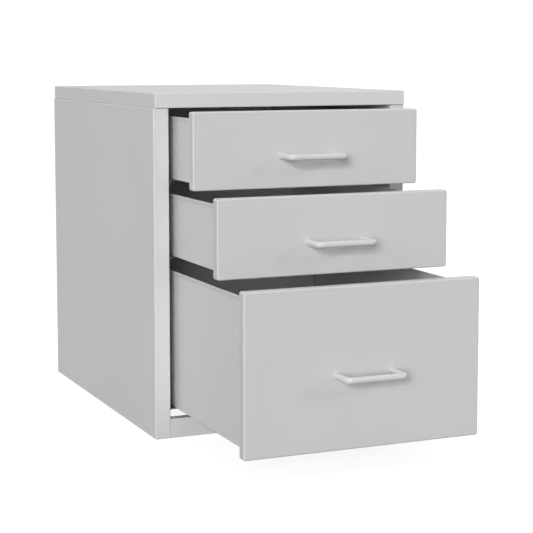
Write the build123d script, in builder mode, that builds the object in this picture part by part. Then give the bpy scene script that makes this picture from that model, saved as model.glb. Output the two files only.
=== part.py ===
"""Steel pedestal cabinet with three drawers on nylon rollers.

Millimetres, +Z up, the front towards -Y. The origin lies on the floor, at the centre of the body's
footprint. The drawers are drawn part way out, and each one slides along Y.
"""

from build123d import *
import os

os.makedirs("parts", exist_ok=True)

# Body
WIDTH = 460.0
DEPTH = 590.0
HEIGHT = 572.0
BODY_SHEET = 1.0
BODY_BEND = 1.5
SKIRT_HEIGHT = 24.5
TOP_INSET = 1.5
TOP_OVERHANG = 4.0
TOP_LIP = 22.0
POST_WIDTH = 26.5
JAMB_DEPTH = 57.0
RAIL_TOP = 32.3
RAIL_FLANGE = 18.0
BACK_FLANGE = 15.0
FOLD_CLEARANCE = 0.6
UPRIGHT_SHEET = 1.2
UPRIGHT_DEPTH = 30.0
UPRIGHT_REAR = 575.0
UPRIGHT_END_GAP = 3.0

# Brackets inside the base that take a castor's or a levelling foot's M8 stem
BRACKET_SIZE = 60.0
BRACKET_SHEET = 3.0
BRACKET_LEG = 30.0
BRACKET_BEND = 3.5
BRACKET_Y = 207.0
BRACKET_HOLE_X = 194.0
BRACKET_HOLE_RADIUS = 4.5
NUT_ACROSS_FLATS = 13.0
NUT_HEIGHT = 6.5
NUT_BORE_RADIUS = 4.0

# Drawers, from the top down
FRONT_GAP = 3.2
SMALL_FRONT_HEIGHT = 124.8
FILE_FRONT_HEIGHT = 251.8
FRONT_WIDTH = 400.2
FRONT_DEPTH = 18.0
FRONT_SHEET = 0.9
FRONT_CORNER = 3.5
FRONT_BEND = 2.5
FRONT_REAR_BEND = 2.0
FRONT_FLANGE = 16.0
PULLS = (101.0, 203.0, 306.0)
BOX_WIDTH = 376.0
BOX_END = 579.0
BACK_WALL = 574.2
BOX_SHEET = 0.8
BOX_BEND = 1.6
BOX_RISE = 9.3
BOX_DROP = 11.5
HEM_HEIGHT = 8.0
HEM_ROUND = 0.7
HEM_SWELL = 1.8
ACCESS_RADIUS = 6.0
INNER_FRONT_GAP = 0.8
BACK_WALL_GAP = 0.4
BACK_WALL_BEND = 2.6
SLOT_Y = (454.0, 478.0)
SLOT_RISE = 75.0
SLOT_WIDTH = 3.5
SLOT_HEIGHT = 14.0

# Bow handles
HANDLE_CENTRES = 95.0
HANDLE_PROJECTION = 40.5
HANDLE_RADIUS = 5.2
HANDLE_BEND = 5.8
HANDLE_DROP = 10.3
HANDLE_SCREW_RADIUS = 2.0
HANDLE_SCREW_DEPTH = 10.0
HANDLE_SCREW_END_GAP = 1.0
SCREW_HEAD_RADIUS = 3.8
SCREW_HEAD_HEIGHT = 2.4

# Roller runners. Heights are counted from the bottom of the drawer's box, widths from the jamb.
RUNNER_SHEET = 1.2
RUNNER_BEND = 1.7
RUNNER_START = 20.0
CHANNEL_START = 46.0
CHANNEL_BOTTOM = -2.0
CHANNEL_TOP = 22.2
LOWER_FLANGE = 19.0
UPPER_FLANGE = 12.5
LIP_LENGTH = 28.0
LIP_DEPTH = 17.0
LIP_ROUND = 6.0
ROLLER_WIDTH = 7.0
ROLLER_ROUND = 0.8
ROLLER_RECESS = 0.8
ROLLER_RIM = 1.9
HUB_RADIUS = 4.2
RUNNING_CLEARANCE = 0.05
SIDE_CLEARANCE = 0.3
PIN_RADIUS = 2.5
PIN_SHOULDER_RADIUS = 4.0
PIN_SHOULDER = 0.7
PIN_HEAD_RADIUS = 4.5
PIN_HEAD = 1.2
FRONT_ROLLER_RADIUS = 8.5
FRONT_ROLLER_Y = 76.0
FRONT_ROLLER_HEIGHT = -SIDE_CLEARANCE - FRONT_ROLLER_RADIUS
REAR_ROLLER_RADIUS = 10.5
REAR_ROLLER_Y = 560.0
REAR_ROLLER_HEIGHT = 10.0
STOP_Y = 127.0
STOP_HEIGHT = 8.0
STOP_WIDTH = 6.0
RUNNER_SCREW_Y = (51.0, 562.0)
RUNNER_SCREW_HEIGHT = 10.0
RUNNER_SCREW_RADIUS = 2.0
RUNNER_SCREW_HEAD_RADIUS = 3.5
RUNNER_SCREW_HEAD = 1.5
RUNNER_SCREW_TAIL = 3.0

# Brackets at the rear of the box sides, which carry the rear rollers
REAR_BRACKET_START = 500.0
REAR_BRACKET_BOTTOM = 2.0
REAR_BRACKET_TOP = 40.0
REAR_BRACKET_ROUND = 6.0

# Nylon buttons that keep the fronts off the jambs
BUTTON_Y = 6.0
BUTTON_RISE = 32.0
BUTTON_RADIUS = 3.0
BUTTON_HEIGHT = 1.6
BUTTON_ROUND = 1.0
BUTTON_SHANK_RADIUS = 2.0
BUTTON_SHANK = 3.0

# Other fasteners and the rubber buffers
TOP_SCREW_Y = 200.0
TOP_SCREW_LENGTH = 7.2
RIVET_HEIGHTS = (60.0, 200.0, 345.0, 485.0)
RIVET_RADIUS = 1.6
RIVET_HEAD_RADIUS = 3.2
RIVET_HEAD = 1.2
RIVET_CROWN = 0.8
RIVET_TAIL = 1.5
BUFFER_X = 150.0
BUFFER_RADIUS = 8.0
BUFFER_GAP = 0.5
BUFFER_RISE = 25.0

# Derived places
FACE_Y = -DEPTH / 2
SIDE_HEIGHT = HEIGHT - SKIRT_HEIGHT
POST_X = WIDTH / 2 - POST_WIDTH / 2
JAMB_X = WIDTH / 2 - POST_WIDTH
BOX_X = BOX_WIDTH / 2
INNER_X = BOX_X - BOX_SHEET
BACK_Y = DEPTH / 2 - BODY_SHEET
SIDES = {"left": -1, "right": 1}


class Drawer:
    """Where one drawer's front and box lie."""

    def __init__(self, number, top, height, pull):
        self.name = f"drawer_{number}"
        self.top = top
        self.bottom = top - height
        self.face = FACE_Y - pull
        self.box_bottom = self.bottom + BOX_RISE
        self.box_top = self.top - BOX_DROP
        self.handle_z = (self.top + self.bottom) / 2 - HANDLE_DROP


def place_drawers():
    """Stack the drawers down from the skirt, each with the same gap above its front."""
    drawers = []
    top = SIDE_HEIGHT
    heights = (SMALL_FRONT_HEIGHT, SMALL_FRONT_HEIGHT, FILE_FRONT_HEIGHT)
    for index, height in enumerate(heights):
        top -= FRONT_GAP
        drawers.append(Drawer(index + 1, top, height, PULLS[index]))
        top -= height
    return drawers


DRAWERS = place_drawers()


def write(piece, name):
    """Label one finished piece and write its STEP file."""
    piece.part.label = name
    export_step(piece.part, f"parts/{name}.step")


def write_pair(piece, pattern):
    """Write a left-hand piece and its mirror image on the right."""
    write(piece, pattern.format("left"))
    with BuildPart() as other:
        mirror(piece.part, about=Plane.YZ)
    write(other, pattern.format("right"))


def folded(points, bend, sheet, side):
    """The section of a folded sheet: its outer line, rounded at each bend, and its thickness."""
    with BuildSketch() as section:
        with BuildLine():
            FilletPolyline(*points, radius=bend)
            offset(amount=sheet, side=side, closed=True)
        make_face()
    return section.sketch


def across(y):
    """An upright plane across the cabinet at y, whose own x and y are +X and +Z."""
    return Plane.XZ.offset(-y)


def axis_plane(x, y, z, direction):
    """A plane holding the line through (x, y, z) along X, for a turned piece's half section."""
    return Plane(origin=(x, y, z), x_dir=(direction, 0, 0), z_dir=(0, -direction, 0))


def pipe(start, end, radius, mode=Mode.ADD):
    """A round bar, or with Mode.SUBTRACT a round hole, from one point to another."""
    run = Vector(end) - Vector(start)
    with BuildSketch(Plane(origin=start, z_dir=run.normalized())) as section:
        Circle(radius)
    extrude(section.sketch, amount=run.length, mode=mode)


# Body pieces


def make_side_panels():
    """Side, post, top ledge, bottom ledge and rear flange in one folded pan, with a deep jamb."""
    with BuildPart() as panel:
        with BuildSketch():
            with Locations((-POST_X, 0)):
                Rectangle(POST_WIDTH, DEPTH)
        extrude(amount=SIDE_HEIGHT)
        levels = panel.edges().group_by(Axis.X)
        post_edge = levels[-1].sort_by(Axis.Y)[0]
        fillet(levels[0] + levels[1] + [post_edge], radius=BODY_BEND)
        offset(panel.part, amount=-BODY_SHEET, mode=Mode.SUBTRACT)
        opening = DEPTH - JAMB_DEPTH - BODY_SHEET
        with BuildSketch(Plane.XY.offset(BODY_SHEET)):
            with Locations((-JAMB_X - BODY_SHEET / 2, BACK_Y - opening / 2)):
                Rectangle(BODY_SHEET, opening)
        extrude(amount=SIDE_HEIGHT - 2 * BODY_SHEET, mode=Mode.SUBTRACT)
        for y in (-TOP_SCREW_Y, TOP_SCREW_Y):
            hole_top = (-POST_X, y, SIDE_HEIGHT)
            pipe((-POST_X, y, SIDE_HEIGHT - BODY_SHEET), hole_top, HANDLE_SCREW_RADIUS, Mode.SUBTRACT)
        for z in RIVET_HEIGHTS:
            pipe((-POST_X, BACK_Y, z), (-POST_X, DEPTH / 2, z), RIVET_RADIUS, Mode.SUBTRACT)
        for drawer in DRAWERS:
            y = FACE_Y + RUNNER_SCREW_Y[0]
            z = drawer.box_bottom + RUNNER_SCREW_HEIGHT
            jamb_back = -JAMB_X - BODY_SHEET
            pipe((jamb_back, y, z), (-JAMB_X, y, z), RUNNER_SCREW_RADIUS, Mode.SUBTRACT)
            y = FACE_Y + BUTTON_Y
            z = drawer.box_bottom + BUTTON_RISE
            pipe((jamb_back, y, z), (-JAMB_X, y, z), BUTTON_SHANK_RADIUS, Mode.SUBTRACT)
    write_pair(panel, "{}_side_panel")


def make_top_panel():
    """Top with a folded skirt, turned in below as a lip that rests on the side panels."""
    length = DEPTH + TOP_OVERHANG
    width = WIDTH - 2 * TOP_INSET
    with BuildPart() as panel:
        with BuildSketch(Plane.XY.offset(SIDE_HEIGHT)):
            with Locations((0, -TOP_OVERHANG / 2)):
                Rectangle(width, length)
        extrude(amount=SKIRT_HEIGHT)
        fillet(panel.edges(), radius=BODY_BEND)
        offset(panel.part, amount=-BODY_SHEET, mode=Mode.SUBTRACT)
        with BuildSketch(Plane.XY.offset(SIDE_HEIGHT)):
            with Locations((0, -TOP_OVERHANG / 2)):
                Rectangle(width - 2 * TOP_LIP, length - 2 * TOP_LIP)
        extrude(amount=BODY_SHEET, mode=Mode.SUBTRACT)
        for x in (-POST_X, POST_X):
            for y in (-TOP_SCREW_Y, TOP_SCREW_Y):
                lip_top = (x, y, SIDE_HEIGHT + BODY_SHEET)
                pipe((x, y, SIDE_HEIGHT), lip_top, HANDLE_SCREW_RADIUS, Mode.SUBTRACT)
    write(panel, "top_panel")


def make_back_panel():
    """Back sheet behind the side panels' rear flanges, folded forwards at the top and bottom."""
    bottom = BODY_SHEET + FOLD_CLEARANCE
    top = SIDE_HEIGHT - bottom
    front = BACK_Y - BACK_FLANGE
    half_width = WIDTH / 2 - bottom
    outline = ((front, bottom), (BACK_Y, bottom), (BACK_Y, top), (front, top))
    with BuildPart() as panel:
        with BuildSketch(Plane.YZ.offset(-half_width)):
            add(folded(outline, BODY_BEND, BODY_SHEET, Side.LEFT))
        extrude(amount=2 * half_width)
        for x in (-POST_X, POST_X):
            for z in RIVET_HEIGHTS:
                pipe((x, BACK_Y - BODY_SHEET, z), (x, BACK_Y, z), RIVET_RADIUS, Mode.SUBTRACT)
    write(panel, "back_panel")


def make_front_base_rail():
    """Channel between the posts, under the lowest drawer."""
    rear = FACE_Y + RAIL_FLANGE
    outline = ((rear, 0), (FACE_Y, 0), (FACE_Y, RAIL_TOP), (rear, RAIL_TOP))
    with BuildPart() as rail:
        with BuildSketch(Plane.YZ.offset(-JAMB_X)):
            add(folded(outline, BODY_BEND, BODY_SHEET, Side.RIGHT))
        extrude(amount=2 * JAMB_X)
    write(rail, "front_base_rail")


def make_rear_uprights():
    """Channels welded inside the side panels, which carry the rear ends of the runners."""
    rear = FACE_Y + UPRIGHT_REAR
    front = rear - UPRIGHT_DEPTH
    wall = -WIDTH / 2 + BODY_SHEET
    height = SIDE_HEIGHT - 2 * UPRIGHT_END_GAP
    outline = ((wall, front), (-JAMB_X, front), (-JAMB_X, rear), (wall, rear))
    with BuildPart() as upright:
        with BuildSketch(Plane.XY.offset(UPRIGHT_END_GAP)):
            add(folded(outline, UPRIGHT_SHEET + BODY_SHEET / 2, UPRIGHT_SHEET, Side.LEFT))
        extrude(amount=height)
        for drawer in DRAWERS:
            y = FACE_Y + RUNNER_SCREW_Y[1]
            z = drawer.box_bottom + RUNNER_SCREW_HEIGHT
            behind = -JAMB_X - UPRIGHT_SHEET
            pipe((behind, y, z), (-JAMB_X, y, z), RUNNER_SCREW_RADIUS, Mode.SUBTRACT)
    write_pair(upright, "{}_rear_upright")


def bracket_places():
    """The four stem holes, as side sign and y."""
    return [(sign, y) for sign in SIDES.values() for y in (-BRACKET_Y, BRACKET_Y)]


def make_base_brackets():
    """Angle brackets on the side panels' bottom ledges, with a hole for an M8 stem."""
    wall = WIDTH / 2 - BODY_SHEET
    floor = BODY_SHEET
    with BuildPart() as brackets:
        for sign, y in bracket_places():
            outline = (
                (sign * wall, floor + BRACKET_LEG),
                (sign * wall, floor),
                (sign * (wall - BRACKET_SIZE), floor),
            )
            inside = Side.LEFT if sign < 0 else Side.RIGHT
            with BuildSketch(across(y - BRACKET_SIZE / 2)):
                add(folded(outline, BRACKET_BEND, BRACKET_SHEET, inside))
            extrude(amount=-BRACKET_SIZE)
            x = sign * BRACKET_HOLE_X
            hole_top = (x, y, floor + BRACKET_SHEET)
            pipe((x, y, floor), hole_top, BRACKET_HOLE_RADIUS, Mode.SUBTRACT)
    write(brackets, "base_brackets")


def make_base_nuts():
    """Hexagon weld nuts over the bracket holes."""
    with BuildPart() as nuts:
        with BuildSketch(Plane.XY.offset(BODY_SHEET + BRACKET_SHEET)):
            with Locations(*[(sign * BRACKET_HOLE_X, y) for sign, y in bracket_places()]):
                RegularPolygon(NUT_ACROSS_FLATS / 2, 6, major_radius=False)
                Circle(NUT_BORE_RADIUS, mode=Mode.SUBTRACT)
        extrude(amount=NUT_HEIGHT)
    write(nuts, "base_nuts")


def make_top_screws():
    """Pan-head screws up through the side panels' top ledges into the top's lip."""
    under = SIDE_HEIGHT - BODY_SHEET
    with BuildPart() as screws:
        for x in (-POST_X, POST_X):
            for y in (-TOP_SCREW_Y, TOP_SCREW_Y):
                pipe((x, y, under - SCREW_HEAD_HEIGHT), (x, y, under), SCREW_HEAD_RADIUS)
                pipe((x, y, under), (x, y, under + TOP_SCREW_LENGTH), HANDLE_SCREW_RADIUS)
    write(screws, "top_screws")


def make_back_rivets():
    """Blind rivets through the side panels' rear flanges and the back panel."""
    outside = DEPTH / 2
    inside = BACK_Y - BODY_SHEET - RIVET_TAIL
    with BuildPart() as rivets:
        for x in (-POST_X, POST_X):
            for z in RIVET_HEIGHTS:
                pipe((x, inside, z), (x, outside, z), RIVET_RADIUS)
                pipe((x, outside, z), (x, outside + RIVET_HEAD, z), RIVET_HEAD_RADIUS)
        crowns = rivets.edges().group_by(Axis.Y)[-1]
        fillet(crowns, radius=RIVET_CROWN)
    write(rivets, "back_rivets")


def make_rear_buffers():
    """Rubber buffers on the back panel, one pair behind each drawer."""
    wall = BACK_Y - BODY_SHEET
    tip = FACE_Y + BOX_END + BUFFER_GAP
    with BuildPart() as buffers:
        for drawer in DRAWERS:
            for x in (-BUFFER_X, BUFFER_X):
                z = drawer.box_bottom + BUFFER_RISE
                pipe((x, wall, z), (x, tip, z), BUFFER_RADIUS)
        tips = buffers.edges().group_by(Axis.Y)[0]
        fillet(tips, radius=BUFFER_RADIUS / 2)
    write(buffers, "rear_buffers")


def make_guide_buttons():
    """Nylon buttons snapped into the jambs, just inside the opening."""
    with BuildPart() as buttons:
        for drawer in DRAWERS:
            y = FACE_Y + BUTTON_Y
            z = drawer.box_bottom + BUTTON_RISE
            for sign in SIDES.values():
                tail = sign * (JAMB_X + BUTTON_SHANK)
                tip = sign * (JAMB_X - BUTTON_HEIGHT)
                pipe((tail, y, z), (sign * JAMB_X, y, z), BUTTON_SHANK_RADIUS)
                pipe((sign * JAMB_X, y, z), (tip, y, z), BUTTON_RADIUS)
        faces = buttons.faces().filter_by(lambda face: abs(abs(face.center().X) - abs(tip)) < 0.01)
        fillet(faces.edges(), radius=BUTTON_ROUND)
    write(buttons, "guide_buttons")


# Runners and rollers


def make_runner(drawer):
    """Cabinet member: a channel for the drawer's rear roller, and a lip for the front roller."""
    base = drawer.box_bottom
    low = base + CHANNEL_BOTTOM
    high = base + CHANNEL_TOP
    ledge = low + RUNNER_SHEET
    edge = -JAMB_X + LOWER_FLANGE
    heel = (-JAMB_X, low)
    channel = ((edge, low), heel, (-JAMB_X, high), (-JAMB_X + UPPER_FLANGE, high))
    nose = ((edge, low), heel, (-JAMB_X, high))
    lip = ((edge - LOWER_FLANGE / 2, ledge), (edge, ledge), (edge, ledge - LIP_DEPTH))
    roller_y = FACE_Y + FRONT_ROLLER_Y
    roller_z = base + FRONT_ROLLER_HEIGHT
    screw_z = base + RUNNER_SCREW_HEIGHT
    web = -JAMB_X + RUNNER_SHEET
    with BuildPart() as runner:
        with BuildSketch(across(FACE_Y + CHANNEL_START)):
            add(folded(channel, RUNNER_BEND, RUNNER_SHEET, Side.RIGHT))
        extrude(amount=-(BOX_END - CHANNEL_START))
        with BuildSketch(across(FACE_Y + RUNNER_START)):
            add(folded(nose, RUNNER_BEND, RUNNER_SHEET, Side.RIGHT))
        extrude(amount=-(CHANNEL_START - RUNNER_START))
        with BuildSketch(across(roller_y - LIP_LENGTH / 2)):
            add(folded(lip, RUNNER_BEND, RUNNER_SHEET, Side.RIGHT))
        extrude(amount=-LIP_LENGTH)
        fillet(runner.edges().filter_by(Axis.X).group_by(Axis.Z)[0], radius=LIP_ROUND)
        stop_x = -JAMB_X + STOP_WIDTH
        stop_z = high - RUNNER_SHEET - STOP_HEIGHT / 2
        with BuildSketch(across(FACE_Y + STOP_Y)):
            with Locations((stop_x, stop_z)):
                Rectangle(STOP_WIDTH, STOP_HEIGHT)
        extrude(amount=-RUNNER_SHEET)
        for screw_y in RUNNER_SCREW_Y:
            y = FACE_Y + screw_y
            pipe((-JAMB_X, y, screw_z), (web, y, screw_z), RUNNER_SCREW_RADIUS, Mode.SUBTRACT)
        pin_start = (edge - RUNNER_SHEET, roller_y, roller_z)
        pipe(pin_start, (edge, roller_y, roller_z), PIN_RADIUS, Mode.SUBTRACT)
    write_pair(runner, drawer.name + "_runner_{}")


def make_rear_bracket(drawer):
    """Plate welded to the rear end of a box side, which carries the rear roller's pin."""
    base = drawer.box_bottom
    front = drawer.face + REAR_BRACKET_START
    rear = drawer.face + BOX_END
    roller_y = drawer.face + REAR_ROLLER_Y
    roller_z = base + REAR_ROLLER_HEIGHT
    outer = -BOX_X - RUNNER_SHEET
    middle = ((front + rear) / 2, base + (REAR_BRACKET_BOTTOM + REAR_BRACKET_TOP) / 2)
    with BuildPart() as bracket:
        with BuildSketch(Plane.YZ.offset(outer)):
            with Locations(middle):
                RectangleRounded(
                    rear - front, REAR_BRACKET_TOP - REAR_BRACKET_BOTTOM, REAR_BRACKET_ROUND
                )
        extrude(amount=RUNNER_SHEET)
        pipe((outer, roller_y, roller_z), (-BOX_X, roller_y, roller_z), PIN_RADIUS, Mode.SUBTRACT)
    write_pair(bracket, drawer.name + "_rear_bracket_{}")


def roller_section(radius):
    """Half section of a roller from its near face at x = 0: a hub, a recessed web and a rim."""
    bore = PIN_RADIUS + RUNNING_CLEARANCE
    rim = radius - ROLLER_RIM
    width = ROLLER_WIDTH
    points = [
        (0, bore),
        (0, HUB_RADIUS),
        (ROLLER_RECESS, HUB_RADIUS),
        (ROLLER_RECESS, rim),
        (0, rim),
        (0, radius),
        (width, radius),
        (width, rim),
        (width - ROLLER_RECESS, rim),
        (width - ROLLER_RECESS, HUB_RADIUS),
        (width, HUB_RADIUS),
        (width, bore),
    ]
    with BuildSketch() as section:
        with BuildLine():
            Polyline(*points, close=True)
        make_face()
        fillet(section.vertices().group_by(Axis.Y)[-1], radius=ROLLER_ROUND)
    return section.sketch


def pin_section(tail):
    """Half section of a roller pin from its tail at x = 0: tail, shoulder, journal and head."""
    shoulder = tail + PIN_SHOULDER
    head = shoulder + ROLLER_WIDTH + 2 * SIDE_CLEARANCE
    points = [
        (0, 0),
        (0, PIN_RADIUS),
        (tail, PIN_RADIUS),
        (tail, PIN_SHOULDER_RADIUS),
        (shoulder, PIN_SHOULDER_RADIUS),
        (shoulder, PIN_RADIUS),
        (head, PIN_RADIUS),
        (head, PIN_HEAD_RADIUS),
        (head + PIN_HEAD, PIN_HEAD_RADIUS),
        (head + PIN_HEAD, 0),
    ]
    with BuildSketch() as section:
        with BuildLine():
            Polyline(*points, close=True)
        make_face()
    return section.sketch


def turn(section, x, y, z, direction):
    """Revolve a half section about the line through (y, z) along X."""
    with BuildSketch(axis_plane(x, y, z, direction)) as placed:
        add(section)
    revolve(placed.sketch, axis=Axis((x, y, z), (1, 0, 0)))


def make_rollers(drawer):
    """Two rollers on the runners' lips and two on the rear brackets, with running clearance."""
    gap = PIN_SHOULDER + SIDE_CLEARANCE
    lip_x = JAMB_X - LOWER_FLANGE
    bracket_x = BOX_X + RUNNER_SHEET
    front_y = FACE_Y + FRONT_ROLLER_Y
    front_z = drawer.box_bottom + FRONT_ROLLER_HEIGHT
    rear_y = drawer.face + REAR_ROLLER_Y
    rear_z = drawer.box_bottom + REAR_ROLLER_HEIGHT
    for side, sign in SIDES.items():
        with BuildPart() as front_roller:
            section = roller_section(FRONT_ROLLER_RADIUS)
            turn(section, sign * (lip_x - gap), front_y, front_z, -sign)
        write(front_roller, f"{drawer.name}_front_roller_{side}")
        with BuildPart() as rear_roller:
            section = roller_section(REAR_ROLLER_RADIUS)
            turn(section, sign * (bracket_x + gap), rear_y, rear_z, sign)
        write(rear_roller, f"{drawer.name}_rear_roller_{side}")


def make_front_pins():
    """Riveted pins of the six front rollers."""
    outer = JAMB_X - LOWER_FLANGE + RUNNER_SHEET
    with BuildPart() as pins:
        for drawer in DRAWERS:
            for sign in SIDES.values():
                y = FACE_Y + FRONT_ROLLER_Y
                z = drawer.box_bottom + FRONT_ROLLER_HEIGHT
                turn(pin_section(RUNNER_SHEET), sign * outer, y, z, -sign)
    write(pins, "front_roller_pins")


def make_rear_pins(drawer):
    """Riveted pins of one drawer's two rear rollers."""
    with BuildPart() as pins:
        for sign in SIDES.values():
            y = drawer.face + REAR_ROLLER_Y
            z = drawer.box_bottom + REAR_ROLLER_HEIGHT
            turn(pin_section(RUNNER_SHEET), sign * BOX_X, y, z, sign)
    write(pins, f"{drawer.name}_roller_pins")


def make_runner_screws():
    """Screws that hold the runners to the jambs and the rear uprights."""
    with BuildPart() as screws:
        for drawer in DRAWERS:
            z = drawer.box_bottom + RUNNER_SCREW_HEIGHT
            for sign in SIDES.values():
                for screw_y in RUNNER_SCREW_Y:
                    y = FACE_Y + screw_y
                    tail = sign * (JAMB_X + RUNNER_SCREW_TAIL)
                    seat = sign * (JAMB_X - RUNNER_SHEET)
                    crown = seat - sign * RUNNER_SCREW_HEAD
                    pipe((tail, y, z), (seat, y, z), RUNNER_SCREW_RADIUS)
                    pipe((seat, y, z), (crown, y, z), RUNNER_SCREW_HEAD_RADIUS)
    write(screws, "runner_screws")


# Drawer pieces


def make_tray(drawer, slots):
    """Bottom and both sides of a drawer's box in one folded sheet, with a teardrop hem outside.

    Slots are the places, counted from the face, of upright slots through both sides.
    """
    low = drawer.box_bottom
    high = drawer.box_top
    outline = ((-BOX_X, high), (-BOX_X, low), (BOX_X, low), (BOX_X, high))
    crown = (BOX_X + HEM_SWELL, high)
    toe = high - HEM_HEIGHT
    with BuildPart() as tray:
        with BuildSketch(across(drawer.face + FRONT_DEPTH)) as section:
            add(folded(outline, BOX_BEND, BOX_SHEET, Side.LEFT))
            with BuildLine():
                Polyline((INNER_X, toe), (BOX_X, toe), crown, (INNER_X, high), close=True)
            make_face()
            mirror(about=Plane.YZ)
            fillet(section.vertices().group_by(Axis.Y)[-1], radius=HEM_ROUND)
        extrude(amount=-(BOX_END - FRONT_DEPTH))
        slot_z = low + SLOT_RISE + SLOT_HEIGHT / 2
        for slot in slots:
            with BuildSketch(Plane.YZ.offset(-BOX_X)):
                with Locations((drawer.face + slot, slot_z)):
                    Rectangle(SLOT_WIDTH, SLOT_HEIGHT)
            extrude(amount=BOX_WIDTH, mode=Mode.SUBTRACT)
    write(tray, f"{drawer.name}_tray")


def make_inner_front(drawer):
    """Front wall of a drawer's box, with access holes to the handle's screws and a hem behind."""
    low = drawer.box_bottom + BOX_SHEET
    high = drawer.box_top
    width = 2 * (INNER_X - INNER_FRONT_GAP)
    front = drawer.face + FRONT_DEPTH
    with BuildPart() as wall:
        with BuildSketch(across(front)):
            with Locations((0, (low + high) / 2)):
                Rectangle(width, high - low)
            with GridLocations(HANDLE_CENTRES, 0, 2, 1):
                with Locations((0, drawer.handle_z)):
                    Circle(ACCESS_RADIUS, mode=Mode.SUBTRACT)
        extrude(amount=-BOX_SHEET)
        with BuildSketch(across(front + BOX_SHEET)):
            with Locations((0, high - HEM_HEIGHT / 2)):
                Rectangle(width, HEM_HEIGHT)
        extrude(amount=-BOX_SHEET)
        fillet(wall.edges().filter_by(Axis.X).group_by(Axis.Z)[-1], radius=HEM_ROUND)
    write(wall, f"{drawer.name}_inner_front")


def make_box_back(drawer):
    """Rear wall of a drawer's box, flanged backwards along the sides and hemmed in front."""
    low = drawer.box_bottom + BOX_SHEET
    high = drawer.box_top
    half = INNER_X - BACK_WALL_GAP
    front = drawer.face + BACK_WALL
    rear = drawer.face + BOX_END
    outline = ((-half, rear), (-half, front), (half, front), (half, rear))
    with BuildPart() as wall:
        with BuildSketch(Plane.XY.offset(low)):
            add(folded(outline, BACK_WALL_BEND, BOX_SHEET, Side.LEFT))
        extrude(amount=high - low)
        with BuildSketch(across(front - BOX_SHEET)):
            with Locations((0, high - HEM_HEIGHT / 2)):
                Rectangle(2 * (half - BACK_WALL_BEND), HEM_HEIGHT)
        extrude(amount=-BOX_SHEET)
    write(wall, f"{drawer.name}_back")


def front_block(drawer, inset):
    """The front's rounded outer shape as a solid, smaller by inset on every side."""
    width = FRONT_WIDTH - 2 * inset
    height = drawer.top - drawer.bottom - 2 * inset
    with BuildPart() as block:
        with BuildSketch(across(drawer.face + inset)):
            with Locations((0, (drawer.top + drawer.bottom) / 2)):
                RectangleRounded(width, height, FRONT_CORNER - inset)
        extrude(amount=-(FRONT_DEPTH - 2 * inset))
        fillet(block.edges().group_by(Axis.Y)[0], radius=FRONT_BEND - inset)
        fillet(block.edges().group_by(Axis.Y)[-1], radius=FRONT_REAR_BEND - inset)
    return block.part


def make_front(drawer):
    """Outer front: a closed pan with rounded bends and a turned-in flange behind."""
    height = drawer.top - drawer.bottom
    middle = (drawer.top + drawer.bottom) / 2
    back = drawer.face + FRONT_DEPTH
    outer_shape = front_block(drawer, 0)
    hollow = front_block(drawer, FRONT_SHEET)
    with BuildPart() as front:
        add(outer_shape)
        add(hollow, mode=Mode.SUBTRACT)
        with BuildSketch(across(back)):
            with Locations((0, middle)):
                Rectangle(FRONT_WIDTH - 2 * FRONT_FLANGE, height - 2 * FRONT_FLANGE)
        extrude(amount=FRONT_SHEET, mode=Mode.SUBTRACT)
        for x in (-HANDLE_CENTRES / 2, HANDLE_CENTRES / 2):
            outside = (x, drawer.face, drawer.handle_z)
            inside = (x, drawer.face + FRONT_SHEET, drawer.handle_z)
            pipe(outside, inside, HANDLE_SCREW_RADIUS, Mode.SUBTRACT)
    write(front, f"{drawer.name}_front")


def make_handle(drawer):
    """Bow handle bent from round bar, tapped at both feet."""
    half = HANDLE_CENTRES / 2
    foot = drawer.face
    bar = drawer.face - HANDLE_PROJECTION
    with BuildPart() as handle:
        with BuildLine(Plane.XY.offset(drawer.handle_z)):
            corners = ((-half, foot), (-half, bar), (half, bar), (half, foot))
            FilletPolyline(*corners, radius=HANDLE_BEND)
        with BuildSketch(Plane(origin=(-half, foot, drawer.handle_z), z_dir=(0, -1, 0))):
            Circle(HANDLE_RADIUS)
        sweep()
        for x in (-half, half):
            mouth = (x, foot, drawer.handle_z)
            bottom = (x, foot - HANDLE_SCREW_DEPTH, drawer.handle_z)
            pipe(mouth, bottom, HANDLE_SCREW_RADIUS, Mode.SUBTRACT)
    write(handle, f"{drawer.name}_handle")


def make_handle_screws(drawer):
    """Pan-head screws from inside the front into the handle's feet."""
    seat = drawer.face + FRONT_SHEET
    tip = drawer.face - HANDLE_SCREW_DEPTH + HANDLE_SCREW_END_GAP
    with BuildPart() as screws:
        for x in (-HANDLE_CENTRES / 2, HANDLE_CENTRES / 2):
            z = drawer.handle_z
            pipe((x, seat, z), (x, tip, z), HANDLE_SCREW_RADIUS)
            pipe((x, seat, z), (x, seat + SCREW_HEAD_HEIGHT, z), SCREW_HEAD_RADIUS)
    write(screws, f"{drawer.name}_handle_screws")


make_side_panels()
make_top_panel()
make_back_panel()
make_front_base_rail()
make_rear_uprights()
make_base_brackets()
make_base_nuts()
make_top_screws()
make_back_rivets()
make_rear_buffers()
make_guide_buttons()
make_front_pins()
make_runner_screws()

for drawer in DRAWERS:
    make_runner(drawer)
    make_rear_bracket(drawer)
    make_rollers(drawer)
    make_rear_pins(drawer)
    make_tray(drawer, () if drawer is DRAWERS[-1] else SLOT_Y)
    make_inner_front(drawer)
    make_box_back(drawer)
    make_front(drawer)
    make_handle(drawer)
    make_handle_screws(drawer)
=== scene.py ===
import math

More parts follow.
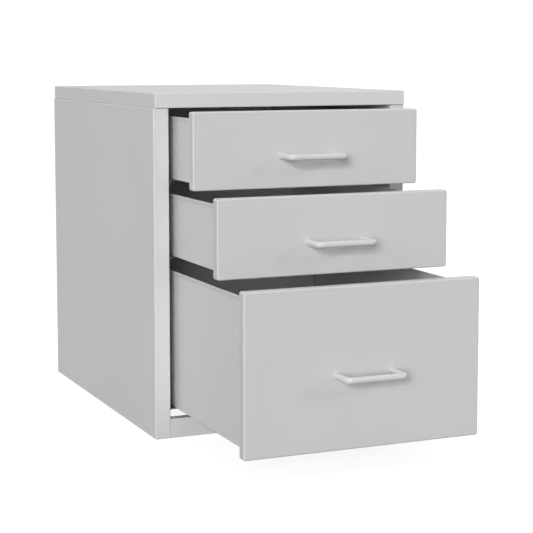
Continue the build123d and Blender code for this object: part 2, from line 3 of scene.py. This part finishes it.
import bpy
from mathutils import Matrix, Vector

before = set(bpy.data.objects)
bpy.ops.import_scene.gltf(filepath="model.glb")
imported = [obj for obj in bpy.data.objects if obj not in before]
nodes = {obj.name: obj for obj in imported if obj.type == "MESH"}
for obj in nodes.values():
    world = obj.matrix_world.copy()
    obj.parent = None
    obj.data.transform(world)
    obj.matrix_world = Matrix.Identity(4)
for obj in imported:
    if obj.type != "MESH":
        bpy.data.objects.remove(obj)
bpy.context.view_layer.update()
scene = bpy.context.scene

# Lengths are in metres and angles in degrees.

# The camera stands in front of the object and to its left, and looks a little down.
CAMERA_PLACE = (-1.0417, -2.6152, 0.6356)
CAMERA_HEADING = 23.556
CAMERA_DIP = 6.023
SENSOR_WIDTH_MM = 36
LENS_MM = 102.25
LENS_SHIFT = -0.10
CLIP_NEAR = 0.1
CLIP_FAR = 60

# Azimuth, elevation, softness and strength of each far light. Azimuth 0 is straight in front of the
# object and 90 is on its right. Softness is the width that the light fills in the sky.
SUNS = {
    "key": (-34, 12, 26, 2.36),
    "key_core": (-36, 20, 3, 0.36),
    "left": (-80, 22, 30, 0.42),
    "right": (54, 22, 9, 0.33),
    "right_side": (95, 32, 30, 0.55),
    "overhead": (0, 85, 40, 0.89),
    "back_left": (-150, 30, 40, 0.5),
    "back_right": (150, 30, 40, 0.5),
}
SUN_DISTANCE = 3

# The world lights the object with one strength, and is seen by the camera with another.
AMBIENT_STRENGTH = 0.11
BACKDROP_STRENGTH = 1.05

FLOOR_HALF_WIDTH = 30
FLOOR_DROP = 0.0002
FLOOR_TONE = 0.23
FLOOR_GLOW = 0.9

# Powder coat: the darkest and palest share of its grey in the clouds, the darkest speck, how far the
# roughness strays below and above, and how many times deeper than the orange peel the ripple is.
CLOUD_DARK = 0.985
CLOUD_PALE = 1.01
SPECK_DARK = 0.975
SMOOTHER = 0.03
ROUGHER = 0.04
RIPPLE_DEPTH = 3

# Painted highlight along the edges, which are smoother there too: its width, how much smoother the edge
# is, and the leans of a rounded normal (as a cosine) at which the highlight is full and at which it
# starts.
EDGE_HIGHLIGHT_WIDTH = 0.0012
EDGE_SMOOTHING = 0.1
EDGE_HIGHLIGHT_FULL = 0.78
EDGE_HIGHLIGHT_START = 0.99
EDGE_HIGHLIGHT_SAMPLES = 6

# Zinc: the darkest and palest share of its grey in the spangle, and how far the roughness strays.
SPANGLE_DARK = 0.86
SPANGLE_PALE = 1.05
SPANGLE_SMOOTH = 0.06
SPANGLE_ROUGH = 0.1

# The floor's clouds are this share paler and darker than its tone.
FLOOR_CLOUD = 0.02

# A colour mix node has a set of sockets for each data type, and these are the ones for colours.
MIX_FIRST = 6
MIX_SECOND = 7
MIX_RESULT = 2


# ---------------------------------------------------------------- camera

def make_camera():
    data = bpy.data.cameras.new("camera")
    data.sensor_width = SENSOR_WIDTH_MM
    data.lens = LENS_MM
    data.shift_y = LENS_SHIFT
    data.clip_start = CLIP_NEAR
    data.clip_end = CLIP_FAR
    camera = bpy.data.objects.new("camera", data)
    camera.location = CAMERA_PLACE
    camera.rotation_euler = (math.radians(90 - CAMERA_DIP), 0, math.radians(-CAMERA_HEADING))
    scene.collection.objects.link(camera)
    scene.camera = camera


# ---------------------------------------------------------------- light

def make_world(ambient, backdrop):
    world = bpy.data.worlds.new("studio")
    scene.world = world
    world.use_nodes = True
    tree = world.node_tree
    tree.nodes.clear()
    out = tree.nodes.new("ShaderNodeOutputWorld")
    mix = tree.nodes.new("ShaderNodeMixShader")
    path = tree.nodes.new("ShaderNodeLightPath")
    light = tree.nodes.new("ShaderNodeBackground")
    light.inputs["Color"].default_value = (1, 1, 1, 1)
    light.inputs["Strength"].default_value = ambient
    seen = tree.nodes.new("ShaderNodeBackground")
    seen.inputs["Color"].default_value = (1, 1, 1, 1)
    seen.inputs["Strength"].default_value = backdrop
    tree.links.new(path.outputs["Is Camera Ray"], mix.inputs["Fac"])
    tree.links.new(light.outputs[0], mix.inputs[1])
    tree.links.new(seen.outputs[0], mix.inputs[2])
    tree.links.new(mix.outputs[0], out.inputs["Surface"])


def make_sun(name, azimuth, elevation, softness, strength):
    turn, rise = math.radians(azimuth), math.radians(elevation)
    way = Vector((
        math.sin(turn) * math.cos(rise),
        -math.cos(turn) * math.cos(rise),
        math.sin(rise),
    ))
    data = bpy.data.lights.new(name, "SUN")
    data.angle = math.radians(softness)
    data.energy = strength
    lamp = bpy.data.objects.new(name, data)
    lamp.location = way * SUN_DISTANCE
    lamp.rotation_euler = (-way).to_track_quat("-Z", "Y").to_euler()
    scene.collection.objects.link(lamp)


# ---------------------------------------------------------------- node helpers

def new_material(name):
    material = bpy.data.materials.new(name)
    material.use_nodes = True
    tree = material.node_tree
    tree.nodes.clear()
    out = tree.nodes.new("ShaderNodeOutputMaterial")
    shader = tree.nodes.new("ShaderNodeBsdfPrincipled")
    tree.links.new(shader.outputs[0], out.inputs["Surface"])
    return material, tree, shader


def object_coordinates(tree, scale=(1, 1, 1)):
    place = tree.nodes.new("ShaderNodeTexCoord")
    mapping = tree.nodes.new("ShaderNodeMapping")
    mapping.inputs["Scale"].default_value = scale
    tree.links.new(place.outputs["Object"], mapping.inputs["Vector"])
    return mapping.outputs["Vector"]


def noise(tree, vector, scale, detail=2.0, roughness=0.5):
    node = tree.nodes.new("ShaderNodeTexNoise")
    node.inputs["Scale"].default_value = scale
    node.inputs["Detail"].default_value = detail
    node.inputs["Roughness"].default_value = roughness
    tree.links.new(vector, node.inputs["Vector"])
    return node.outputs["Fac"]


def spread(tree, value, low, high, from_low=0.3, from_high=0.7):
    """Stretches value so that from_low gives low and from_high gives high."""
    node = tree.nodes.new("ShaderNodeMapRange")
    node.inputs["From Min"].default_value = from_low
    node.inputs["From Max"].default_value = from_high
    node.inputs["To Min"].default_value = low
    node.inputs["To Max"].default_value = high
    tree.links.new(value, node.inputs["Value"])
    return node.outputs["Result"]


def set_colour(tree, socket, colour):
    if isinstance(colour, bpy.types.NodeSocket):
        tree.links.new(colour, socket)
    else:
        socket.default_value = colour


def blend_colours(tree, factor, first, second):
    node = tree.nodes.new("ShaderNodeMix")
    node.data_type = "RGBA"
    tree.links.new(factor, node.inputs["Factor"])
    set_colour(tree, node.inputs[MIX_FIRST], first)
    set_colour(tree, node.inputs[MIX_SECOND], second)
    return node.outputs[MIX_RESULT]


def multiply_colours(tree, first, second):
    node = tree.nodes.new("ShaderNodeMix")
    node.data_type = "RGBA"
    node.blend_type = "MULTIPLY"
    node.inputs["Factor"].default_value = 1.0
    set_colour(tree, node.inputs[MIX_FIRST], first)
    set_colour(tree, node.inputs[MIX_SECOND], second)
    return node.outputs[MIX_RESULT]


def bump(tree, height, distance, under=None):
    node = tree.nodes.new("ShaderNodeBump")
    node.inputs["Strength"].default_value = 1.0
    node.inputs["Distance"].default_value = distance
    tree.links.new(height, node.inputs["Height"])
    if under is not None:
        tree.links.new(under, node.inputs["Normal"])
    return node.outputs["Normal"]


def grey(value, warm=0.0):
    return (value * (1 + warm), value, value * (1 - warm), 1)


def painted_edge_highlight(tree, vector, radius, scale):
    """1 along the edges that get a painted highlight, and 0 elsewhere.

    It is how far a rounded normal leans from the true one, broken up by noise.
    """
    rounded = tree.nodes.new("ShaderNodeBevel")
    rounded.samples = EDGE_HIGHLIGHT_SAMPLES
    rounded.inputs["Radius"].default_value = radius
    surface = tree.nodes.new("ShaderNodeNewGeometry")
    lean = tree.nodes.new("ShaderNodeVectorMath")
    lean.operation = "DOT_PRODUCT"
    tree.links.new(rounded.outputs["Normal"], lean.inputs[0])
    tree.links.new(surface.outputs["Normal"], lean.inputs[1])
    edge = spread(tree, lean.outputs["Value"], 1, 0, from_low=EDGE_HIGHLIGHT_FULL, from_high=EDGE_HIGHLIGHT_START)
    patches = noise(tree, vector, scale, detail=4, roughness=0.65)
    broken = spread(tree, patches, 0.15, 1, from_low=0.42, from_high=0.62)
    both = tree.nodes.new("ShaderNodeMath")
    both.operation = "MULTIPLY"
    tree.links.new(edge, both.inputs[0])
    tree.links.new(broken, both.inputs[1])
    return both.outputs[0]


# ---------------------------------------------------------------- materials

def powder_coat(name, level, gloss=0.42, peel=0.00002, highlight_share=0.09):
    """Satin powder coat: orange peel, faint clouds and specks, and edges made paler by a painted
    highlight and also smoother.

    level is the grey, gloss the roughness, peel the depth of the orange peel, and the last argument the
    share by which the painted highlight makes an edge paler.
    """
    material, tree, shader = new_material(name)
    where = object_coordinates(tree)
    clouds = noise(tree, where, scale=3.5, detail=2)
    specks = noise(tree, where, scale=900, detail=2, roughness=0.6)
    dark, pale = grey(level * CLOUD_DARK), grey(level * CLOUD_PALE)
    clouded = blend_colours(tree, spread(tree, clouds, 0, 1), dark, pale)
    speckled = spread(tree, specks, 0, 1, from_low=0.25, from_high=0.75)
    speckle = blend_colours(tree, speckled, grey(SPECK_DARK), grey(1.0))
    paint = multiply_colours(tree, clouded, speckle)
    # The edges are painted paler. This is a painted highlight where the rounded edges catch light, and
    # the same edges are made smoother below.
    edge_highlight = painted_edge_highlight(tree, where, radius=EDGE_HIGHLIGHT_WIDTH, scale=90)
    highlighted_paint = blend_colours(tree, edge_highlight, paint, grey(level * (1 + highlight_share)))
    tree.links.new(highlighted_paint, shader.inputs["Base Color"])
    haze = spread(tree, noise(tree, where, scale=14, detail=3), gloss - SMOOTHER, gloss + ROUGHER)
    sheen = tree.nodes.new("ShaderNodeMath")
    sheen.operation = "MULTIPLY_ADD"
    sheen.inputs[1].default_value = -EDGE_SMOOTHING
    tree.links.new(edge_highlight, sheen.inputs[0])
    tree.links.new(haze, sheen.inputs[2])
    tree.links.new(sheen.outputs[0], shader.inputs["Roughness"])
    orange_peel = noise(tree, where, scale=420, detail=1.5, roughness=0.4)
    ripple = noise(tree, where, scale=60, detail=1, roughness=0.4)
    rippled = bump(tree, ripple, distance=peel * RIPPLE_DEPTH)
    tree.links.new(bump(tree, orange_peel, distance=peel, under=rippled), shader.inputs["Normal"])
    shader.inputs["Specular IOR Level"].default_value = 0.5
    return material


def galvanised(name, level, gloss):
    """Zinc-coated sheet: spangle of slightly different greys, with fine rolling streaks along Y."""
    material, tree, shader = new_material(name)
    where = object_coordinates(tree)
    cells = tree.nodes.new("ShaderNodeTexVoronoi")
    cells.inputs["Scale"].default_value = 160
    tree.links.new(where, cells.inputs["Vector"])
    split = tree.nodes.new("ShaderNodeSeparateColor")
    tree.links.new(cells.outputs["Color"], split.inputs[0])
    spangle = split.outputs[0]
    dark, pale = grey(level * SPANGLE_DARK, warm=-0.012), grey(level * SPANGLE_PALE, warm=-0.008)
    shade = spread(tree, spangle, 0, 1, from_low=0, from_high=1)
    tree.links.new(blend_colours(tree, shade, dark, pale), shader.inputs["Base Color"])
    shader.inputs["Metallic"].default_value = 1.0
    smooth, rough = gloss - SPANGLE_SMOOTH, gloss + SPANGLE_ROUGH
    dull = spread(tree, spangle, smooth, rough, from_low=0, from_high=1)
    tree.links.new(dull, shader.inputs["Roughness"])
    streaks = noise(tree, object_coordinates(tree, (1, 0.04, 1)), scale=1500, detail=2)
    tree.links.new(bump(tree, streaks, distance=0.00001), shader.inputs["Normal"])
    return material


def grainy(name, patches, colours, roughness, grain, metallic=0.0):
    """A plain stuff whose colour and roughness vary in patches, with a fine grain.

    patches and grain are noise settings, and grain ends with its depth; colours and roughness each
    hold a low and a high.
    """
    material, tree, shader = new_material(name)
    where = object_coordinates(tree)
    patch = noise(tree, where, *patches)
    tree.links.new(blend_colours(tree, spread(tree, patch, 0, 1), *colours), shader.inputs["Base Color"])
    shader.inputs["Metallic"].default_value = metallic
    tree.links.new(spread(tree, patch, *roughness), shader.inputs["Roughness"])
    *fineness, depth = grain
    tree.links.new(bump(tree, noise(tree, where, *fineness), distance=depth), shader.inputs["Normal"])
    return material


def make_floor(tone, glow):
    """A pale floor that throws back a share of the light.

    What the camera sees of it glows a little, so that it is paler than its shadows.
    """
    material = bpy.data.materials.new("floor")
    material.use_nodes = True
    tree = material.node_tree
    tree.nodes.clear()
    out = tree.nodes.new("ShaderNodeOutputMaterial")
    matt = tree.nodes.new("ShaderNodeBsdfDiffuse")
    clouds = noise(tree, object_coordinates(tree), scale=1.5, detail=2)
    dark, pale = grey(tone * (1 - FLOOR_CLOUD)), grey(tone * (1 + FLOOR_CLOUD))
    mottled = blend_colours(tree, spread(tree, clouds, 0, 1), dark, pale)
    tree.links.new(mottled, matt.inputs["Color"])
    light = tree.nodes.new("ShaderNodeEmission")
    path = tree.nodes.new("ShaderNodeLightPath")
    seen = tree.nodes.new("ShaderNodeMath")
    seen.operation = "MULTIPLY"
    seen.inputs[1].default_value = glow
    tree.links.new(path.outputs["Is Camera Ray"], seen.inputs[0])
    tree.links.new(seen.outputs[0], light.inputs["Strength"])
    both = tree.nodes.new("ShaderNodeAddShader")
    tree.links.new(matt.outputs[0], both.inputs[0])
    tree.links.new(light.outputs[0], both.inputs[1])
    tree.links.new(both.outputs[0], out.inputs["Surface"])
    half = FLOOR_HALF_WIDTH
    corners = [(-half, -half, 0), (half, -half, 0), (half, half, 0), (-half, half, 0)]
    mesh = bpy.data.meshes.new("floor")
    mesh.from_pydata(corners, [], [(0, 1, 2, 3)])
    mesh.materials.append(material)
    floor = bpy.data.objects.new("floor", mesh)
    floor.location.z = -FLOOR_DROP
    scene.collection.objects.link(floor)


# ---------------------------------------------------------------- the scene

scene.view_settings.view_transform = "Standard"
scene.view_settings.look = "None"

make_camera()
make_world(AMBIENT_STRENGTH, BACKDROP_STRENGTH)
for sun_name, settings in SUNS.items():
    make_sun(sun_name, *settings)
make_floor(FLOOR_TONE, FLOOR_GLOW)

body_paint = powder_coat("body_paint", level=0.65)
front_paint = powder_coat("front_paint", level=0.598)
box_paint = powder_coat("box_paint", level=0.64, gloss=0.45, highlight_share=0.02)
handle_paint = powder_coat("handle_paint", level=0.628, gloss=0.07, peel=0.000002)
runner_zinc = galvanised("runner_zinc", level=0.62, gloss=0.36)
fastener_steel = grainy(
    "fastener_steel",
    patches=(700, 3, 0.6),
    colours=(grey(0.50, warm=0.01), grey(0.66, warm=-0.01)),
    roughness=(0.26, 0.4),
    grain=(2500, 2, 0.00001),
    metallic=1.0,
)
roller_nylon = grainy(
    "roller_nylon",
    patches=(120, 3),
    colours=((0.70, 0.69, 0.65, 1), (0.78, 0.77, 0.74, 1)),
    roughness=(0.38, 0.5),
    grain=(1800, 2, 0.00001),
)
buffer_rubber = grainy(
    "buffer_rubber",
    patches=(260, 4, 0.6),
    colours=(grey(0.018), grey(0.035)),
    roughness=(0.62, 0.8),
    grain=(1500, 3, 0.00003),
)


def finish_of(name):
    if "roller_left" in name or "roller_right" in name or name == "guide_buttons":
        return roller_nylon
    if "runner_left" in name or "runner_right" in name or "rear_bracket" in name:
        return runner_zinc
    if name == "base_brackets":
        return runner_zinc
    if "pins" in name or "screws" in name or "rivets" in name or "nuts" in name:
        return fastener_steel
    if name == "rear_buffers":
        return buffer_rubber
    if name.endswith("_handle"):
        return handle_paint
    if name.endswith("_front"):
        return front_paint
    if name.startswith("drawer_"):
        return box_paint
    return body_paint


for name, item in nodes.items():
    for place in item.material_slots:
        place.material = finish_of(name)
